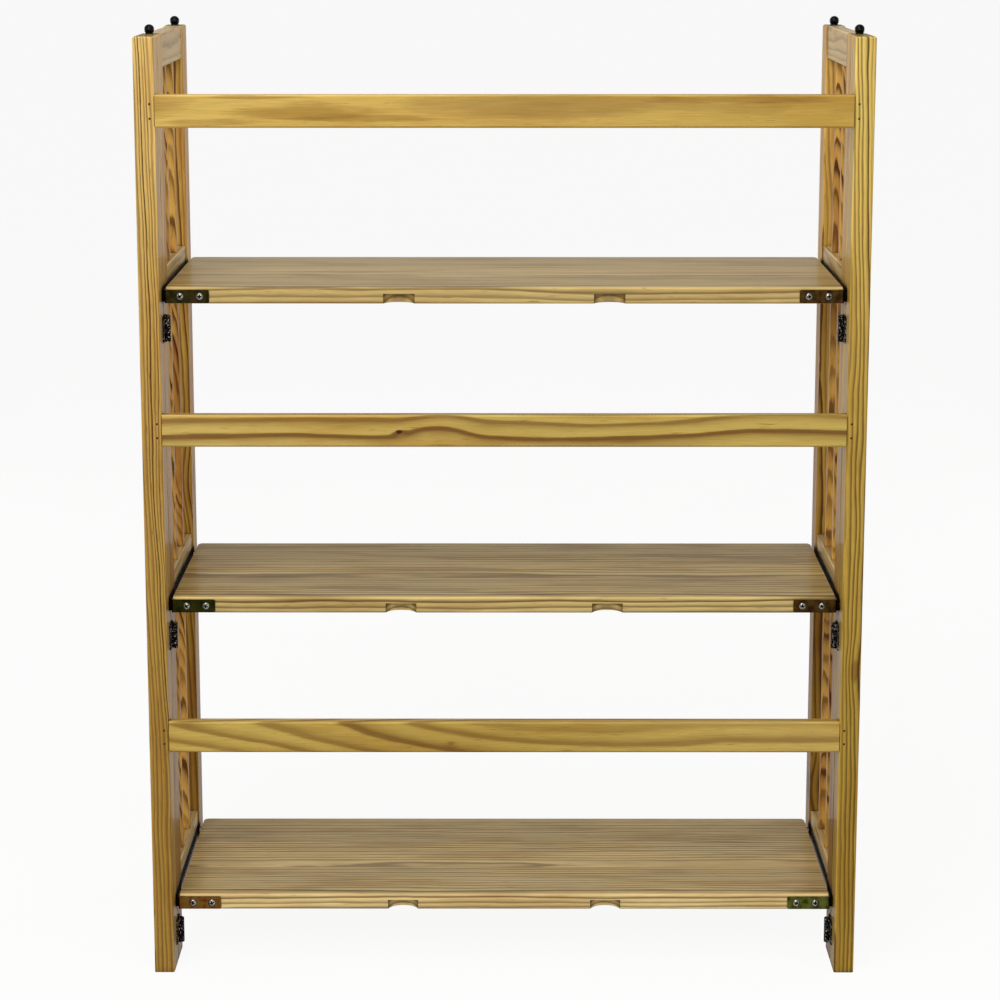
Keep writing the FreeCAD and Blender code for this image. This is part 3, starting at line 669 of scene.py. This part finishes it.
bracketScrew = {
    "profile": [(0, 1.15), (1.2, 1.08), (2.2, 0.8), (2.9, 0.38), (3.15, 0.1), (3.45, 0.03),
                (3.8, 0.03), (3.6, -0.2), (2.0, -1.6), (2.0, -17.0), (1.6, -18.0), (0, -18.6)],
    "rings": 26, "around": 48, "rim": 3.3,
    "slotWidth": 1.35, "slotSlope": 0.3, "slotReach": 2.3, "slotDepth": 0.95,
}
leafScrew = {
    "profile": [(0, 0.28), (1.4, 0.24), (2.1, 0.12), (2.45, 0.02), (2.4, -0.2), (1.2, -1.3),
                (1.2, -8.0), (0, -8.7)],
    "rings": 14, "around": 36, "rim": 2.25,
    "slotWidth": 0.9, "slotSlope": 0.22, "slotReach": 1.5, "slotDepth": 0.6,
}
spins = np.random.default_rng(11)   # how each screw was left turned

for level in levels:
    node = f"bracket_screws_{level}"
    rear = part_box(f"shelf_bracket_{level}_left")[0][1]
    addPiece(f"crossedScrews_{level}", screwsAt(node, bracketScrew, (0, -1, 0), rear, spins),
             f"shelf_{level}", brightZincPlate, node)
print("stage: bracket screws")

hinge = {
    "barrel": 3.3, "bore": 1.65, "leaf": 1.3, "leafCorner": 1.8, "knuckleEdge": 0.25, "clear": 0.35,
    "tabCorner": 0.3, "knuckles": 3, "around": 36,
    "pin": 1.6, "pinLift": 0.05, "pinEase": 0.3,
    "pinHead": 2.5, "pinHeadHeight": 0.9, "pinHeadLift": 0.02, "pinHeadRim": 0.1,
}


def rolledLeaf(box, pin, height, own):
    # plate on the wood, with a tab to the pin and a knuckle turned round it for each place in own
    low, high = box[0] / mm, box[1] / mm
    wood, away = (low[0], high[0]) if pin[0] < 0 else (high[0], low[0])
    xs = sorted((wood, wood + hinge["leaf"] * np.sign(away - wood)))
    side = 1 if abs(high[1] - pin[1]) > abs(low[1] - pin[1]) else -1
    tip = high[1] if side > 0 else low[1]
    root = pin[1] + side * (hinge["barrel"] + hinge["clear"])
    ys = sorted((tip, root))
    parts = [slab((xs[0], ys[0], low[2]), (xs[1], ys[1], high[2]), hinge["leafCorner"])]
    bottom = (low[2] + high[2] - height) / 2
    inner, outer, edge = hinge["bore"], hinge["barrel"], hinge["knuckleEdge"]
    for place in own:
        start = bottom + place * height / hinge["knuckles"] + hinge["clear"] / 2 * (place > 0)
        end = bottom + (place + 1) * height / hinge["knuckles"]
        end -= hinge["clear"] / 2 * (place < hinge["knuckles"] - 1)
        tab = sorted((pin[1], root + side * 2 * hinge["leafCorner"]))
        parts.append(slab((xs[0], tab[0], start), (xs[1], tab[1], end), hinge["tabCorner"]))
        tube = turned([(inner, start), (outer - edge, start), (outer, start + edge),
                       (outer, end - edge), (outer - edge, end), (inner, end), (inner, start)],
                      hinge["around"])
        parts.append(laid(tube, (pin[0] * mm, pin[1] * mm, 0), (0, 0, 1)))
    return parts


for side in sides:
    outwards = (1, 0, 0) if side == "left" else (-1, 0, 0)
    pinBoxes = solidBoxes(f"hinge_pins_{side}")
    height = (pinBoxes[0][1][2] - pinBoxes[0][0][2]) / mm - hinge["pinHeadHeight"]
    low, ease, rim = hinge["pinLift"], hinge["pinEase"], hinge["pinHeadRim"]
    profile = [(0, low), (hinge["pin"] - ease, low), (hinge["pin"], low + ease),
               (hinge["pin"], height), (hinge["pinHead"], height + hinge["pinHeadLift"])]
    profile += [(hinge["pinHead"] * c, height + rim + (hinge["pinHeadHeight"] - rim) * s)
                for c, s in arc((0, 0), 1.0, 0, 90, 7)]
    pins = fromWood(f"hinge_pins_{side}", profile, (0, 0, 1))
    addPiece(f"headedHingePins_{side}", pins, "back_frame", blackLacqueredSteel,
             f"hinge_pins_{side}")
    for owner, body, own in (("post", "back_frame", (0, 2)), ("panel", f"side_panel_{side}", (1,))):
        node = f"{owner}_hinge_leaves_{side}"
        parts = []
        for box, pinBox in zip(solidBoxes(node), pinBoxes):
            parts += rolledLeaf(box, middleOf(pinBox) / mm, height, own)
        addPiece(f"{owner}RolledLeaves_{side}", parts, body, blackLacqueredSteel,
                 node)
        node = f"{owner}_leaf_screws_{side}"
        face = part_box(node)[1 if side == "left" else 0][0]
        addPiece(f"{owner}LeafScrews_{side}", screwsAt(node, leafScrew, outwards, face, spins), body,
                 brightZincPlate, node)
print("stage: hinges")

stackingPin = {
    "neck": 4.15, "ball": 4.9, "height": 9.4, "shank": 3.0, "shankLength": 14.0,
    "footWidth": 0.15, "footHeight": 0.4, "around": 48,
}
peg = {"radius": 3.0, "tip": 0.8}
pivot = {"shank": 2.5, "shankLength": 18.5, "head": 4.5, "headHeight": 1.8, "edge": 0.6}
ring = {"outer": 6.0, "inner": 2.55, "length": 2.8, "edge": 0.3}

for side in sides:
    toMiddle = (1, 0, 0) if side == "left" else (-1, 0, 0)
    node = f"stacking_pins_{side}"
    ball, neck, shank = stackingPin["ball"], stackingPin["neck"], stackingPin["shank"]
    ballBottom = -math.degrees(math.acos(neck / ball))
    profile = [(0, -stackingPin["shankLength"]), (shank, -stackingPin["shankLength"]), (shank, 0),
               (neck + stackingPin["footWidth"], 0), (neck, stackingPin["footHeight"])]
    profile += arc((0, stackingPin["height"] - ball), ball, ballBottom, 90, 16)
    parts = []
    for box in solidBoxes(node):
        base = middleOf(box)
        base[2] = box[1][2] - stackingPin["height"] * mm
        parts.append(laid(turned(profile, stackingPin["around"]), base, (0, 0, 1)))
    addPiece(f"ballToppedPins_{side}", parts, f"side_panel_{side}",
             glossBlackEnamel, node)

    node = f"shelf_pegs_{side}"
    low, high = solidBoxes(node)[0]
    length = (high[0] - low[0]) / mm
    radius, tip = peg["radius"], peg["tip"]
    profile = [(0, 0), (radius, 0)]
    profile += arc((radius - tip, length - tip), tip, 0, 90, 6) + [(0, length)]
    addPiece(f"supportPegs_{side}", fromWood(node, profile, toMiddle), f"side_panel_{side}",
             brightZincPlate, node)

    node = f"shelf_pivot_bolts_{side}"
    under = pivot["shankLength"]
    top = under + pivot["headHeight"]
    profile = [(0, 0), (pivot["shank"], 0), (pivot["shank"], under), (pivot["head"], under),
               (pivot["head"], top - pivot["edge"]), (pivot["head"] - pivot["edge"], top), (0, top)]
    addPiece(f"pivotBolts_{side}", fromWood(node, profile, toMiddle), "back_frame",
             brightZincPlate, node)

    node = f"pivot_spacers_{side}"
    outer, inner, edge = ring["outer"], ring["inner"], ring["edge"]
    profile = [(inner, 0), (outer - edge, 0), (outer, edge), (outer, ring["length"] - edge),
               (outer - edge, ring["length"]), (inner, ring["length"]), (inner, 0)]
    addPiece(f"pivotRings_{side}", fromWood(node, profile, toMiddle), "back_frame",
             blackenedSteel, node)
print("stage: pins, pegs, bolts and rings")

# a pale matt floor that keeps the soft shadow, before a pale backdrop; a strength of 1 is white
studio = {
    "floorReach": 90.0,
    "floor": ("#bcbab6", "#c2c0bc"),
    "floorSpeckle": 3.0,          # blotches to the metre
    "floorGlow": 0.85,            # the share of the floor's look that doesn't hang on the lamps
    "glowLevel": 1.08,
    "horizon": 0.95,
    "zenith": 0.6,
    "ambient": 0.29,
    "lamps": {
        "key": {"place": (-0.7, -2.3, 1.9), "aim": (0, -0.1, 0.75), "size": 1.3, "power": 29.0},
        "fill": {"place": (0.4, -2.3, 0.75), "aim": (0, -0.1, 0.3), "size": 1.2, "power": 10.0},
        "overhead": {"place": (-0.15, -0.62, 1.85), "aim": (0, -0.05, 0.5), "size": 0.9,
                     "power": 6.0},
        "frontLeft": {"place": (-2.0, 1.7, 0.8), "aim": (0, 0, 0.5), "size": 0.9, "power": 16.0},
        "frontRight": {"place": (2.0, 1.7, 0.8), "aim": (0, 0, 0.5), "size": 0.9, "power": 16.0},
    },
}


def seenDirectly(tree):
    # 1 for what the eye, a mirror or glass sees, 0 for light that the surface passes on
    rays = addNode(tree, "ShaderNodeLightPath").outputs
    straight = addNode(tree, "ShaderNodeMath", {"operation": "ADD"},
                       {0: rays["Is Camera Ray"], 1: rays["Is Glossy Ray"]})
    return addNode(tree, "ShaderNodeMath", {"operation": "ADD", "use_clamp": True},
                   {0: straight, 1: rays["Is Transmission Ray"]})


floorMesh = bpy.data.meshes.new("floor")
reach = studio["floorReach"]
corners = [(-reach, -reach, 0), (reach, -reach, 0), (reach, reach, 0), (-reach, reach, 0)]
floorMesh.from_pydata(corners, [], [(0, 1, 2, 3)])
floor = bpy.data.objects.new("floor", floorMesh)
bpy.context.scene.collection.objects.link(floor)
paleFloor, tree = newMaterial("paleMattFloor")
speckle = addNode(tree, "ShaderNodeTexNoise", {"Scale": studio["floorSpeckle"]},
                  {"Vector": addNode(tree, "ShaderNodeTexCoord").outputs["Object"]})
tint = addNode(tree, "ShaderNodeValToRGB", None, {"Fac": speckle})
setRamp(tint, [(0.3, linear(studio["floor"][0])), (0.7, linear(studio["floor"][1]))])
matt = addNode(tree, "ShaderNodeBsdfDiffuse", {"Roughness": 0.5}, {"Color": tint})
glow = addNode(tree, "ShaderNodeEmission", {"Strength": studio["glowLevel"]})
share = addNode(tree, "ShaderNodeMath", {"operation": "MULTIPLY", 1: studio["floorGlow"]},
                {0: seenDirectly(tree)})
both = addNode(tree, "ShaderNodeMixShader", None, {0: share, 1: matt, 2: glow})
addNode(tree, "ShaderNodeOutputMaterial", None, {"Surface": both})
floorMesh.materials.append(paleFloor)

world = bpy.data.worlds.new("studio")
bpy.context.scene.world = world
world.use_nodes = True
tree = world.node_tree
tree.nodes.clear()
direction = addNode(tree, "ShaderNodeTexCoord").outputs["Generated"]
height = addNode(tree, "ShaderNodeSeparateXYZ", None, {0: direction}).outputs["Z"]
backdrop = addNode(tree, "ShaderNodeMapRange",
                   {"interpolation_type": "SMOOTHSTEP", "From Min": 0.0, "From Max": 0.5,
                    "To Min": studio["horizon"], "To Max": studio["zenith"]}, {"Value": height})
level = addNode(tree, "ShaderNodeMix", {"data_type": "FLOAT", 2: studio["ambient"]},
                {0: seenDirectly(tree), 3: backdrop})
light = addNode(tree, "ShaderNodeBackground", {"Color": grey(1.0)}, {"Strength": level})
addNode(tree, "ShaderNodeOutputWorld", None, {"Surface": light})

for name, lamp in studio["lamps"].items():
    data = bpy.data.lights.new(name, "AREA")
    data.size = lamp["size"]
    data.energy = lamp["power"]
    thing = bpy.data.objects.new(name, data)
    thing.location = lamp["place"]
    aim = Vector(lamp["aim"]) - Vector(lamp["place"])
    thing.rotation_euler = aim.to_track_quat("-Z", "Y").to_euler()
    thing.visible_camera = False
    bpy.context.scene.collection.objects.link(thing)
print("stage: studio")

view = {
    "place": (0.0, -2.896, 1.040),
    "pitch": 11.5,           # degrees below level
    "yaw": 0.085,            # degrees to the left
    "lens": 104.8,           # mm on a 36 mm frame
}
camera = bpy.data.objects.new("camera", bpy.data.cameras.new("camera"))
bpy.context.scene.collection.objects.link(camera)
bpy.context.scene.camera = camera
camera.location = view["place"]
camera.rotation_euler = (math.radians(90 - view["pitch"]), 0, math.radians(view["yaw"]))
camera.data.sensor_width = 36.0
camera.data.lens = view["lens"]
camera.data.clip_end = 500.0
bpy.context.scene.view_settings.view_transform = "Standard"
print("stage: camera")
